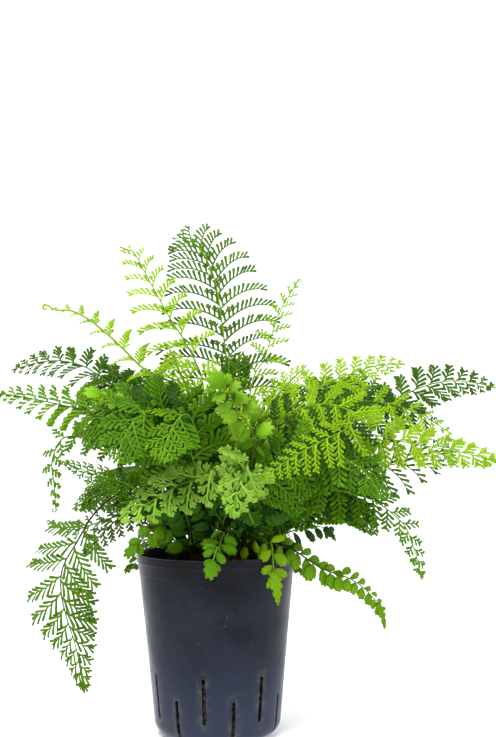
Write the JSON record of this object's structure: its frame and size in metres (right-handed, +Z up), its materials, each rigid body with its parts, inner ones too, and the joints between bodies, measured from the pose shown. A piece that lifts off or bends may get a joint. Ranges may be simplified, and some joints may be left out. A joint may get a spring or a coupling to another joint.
{
  "type": "potted fern",
  "caption": "Finely cut fern with arching and hanging fronds, growing in a tapered, slotted dark pot filled with clay granules.",
  "frame": {"origin": "centre of the pot's flat foot", "axes": "+Z up along the pot axis, -Y towards the viewer of the picture, +X to its right"},
  "size_m": [0.5258, 0.3389, 0.5232],
  "materials": {
    "pot_plastic": "satin moulded, dark blue-grey, lightly scuffed, limescale at the slots",
    "clay_granules": "rough fired clay, red-brown",
    "crown_scales": "brown papery scales",
    "frond_deep": "shaded low leaf, satin, deep green",
    "frond_dark": "mature leaf, satin, dark green",
    "frond_mid": "mature leaf, satin, mid green",
    "frond_bright": "young leaf, satin, yellow-green",
    "frond_lime": "juvenile leaf, soft sheen, light green",
    "frond_pale": "broad leaf, matt, light grey-green"
  },
  "bodies": {
    "root": {"culture_pot": "pot_plastic", "granule_bed": "clay_granules", "crown": "crown_scales", "frond_back_tall": "frond_dark", "frond_top_left": "frond_bright", "frond_left_young": "frond_bright", "frond_left_upper": "frond_dark", "frond_left_lower": "frond_mid", "frond_left_hanging": "frond_dark", "frond_left_drooping": "frond_mid", "frond_left_short": "frond_mid", "frond_left_curled": "frond_mid", "frond_top_right": "frond_bright", "frond_right_top": "frond_bright", "frond_right_upper": "frond_dark", "frond_right_long": "frond_bright", "frond_right_slender": "frond_dark", "frond_right_arching": "frond_mid", "frond_front_left_broad": "frond_pale", "frond_front_centre_broad": "frond_pale", "frond_juvenile_rim_left": "frond_mid", "frond_juvenile_front_centre": "frond_mid", "frond_juvenile_front_right": "frond_bright", "frond_juvenile_right_trailing": "frond_mid", "frond_juvenile_right_small": "frond_deep", "frond_centre_round": "frond_lime", "frond_left_small": "frond_dark", "frond_centre_left_bright": "frond_bright", "frond_centre_upright": "frond_mid", "frond_centre_right_bright": "frond_bright", "frond_left_mid_dense": "frond_mid", "frond_left_front_dense": "frond_mid", "frond_left_low": "frond_mid", "frond_right_mid_bright": "frond_bright", "frond_right_front_dense": "frond_mid", "frond_right_low_dense": "frond_mid", "frond_right_upright": "frond_mid", "frond_left_lime_round": "frond_lime", "frond_front_left_inner": "frond_deep", "frond_front_right_inner": "frond_deep", "frond_front_low": "frond_deep", "frond_front_left_high": "frond_mid", "frond_front_right_high": "frond_bright", "frond_left_side_high": "frond_mid", "frond_right_side_high": "frond_mid", "frond_back_left_high": "frond_mid", "frond_back_right_high": "frond_bright", "frond_back_high": "frond_mid", "frond_back_left_long": "frond_mid", "frond_back_right_long": "frond_mid", "frond_back_long": "frond_mid", "frond_back_low_left": "frond_deep", "frond_back_low_right": "frond_deep", "frond_back_arching_left": "frond_mid", "frond_back_arching_right": "frond_mid", "frond_back_broad": "frond_pale", "frond_back_broad_right": "frond_pale", "frond_juvenile_back_left": "frond_mid", "frond_juvenile_back_right": "frond_mid", "frond_juvenile_back": "frond_lime"}
  },
  "joints": []
}
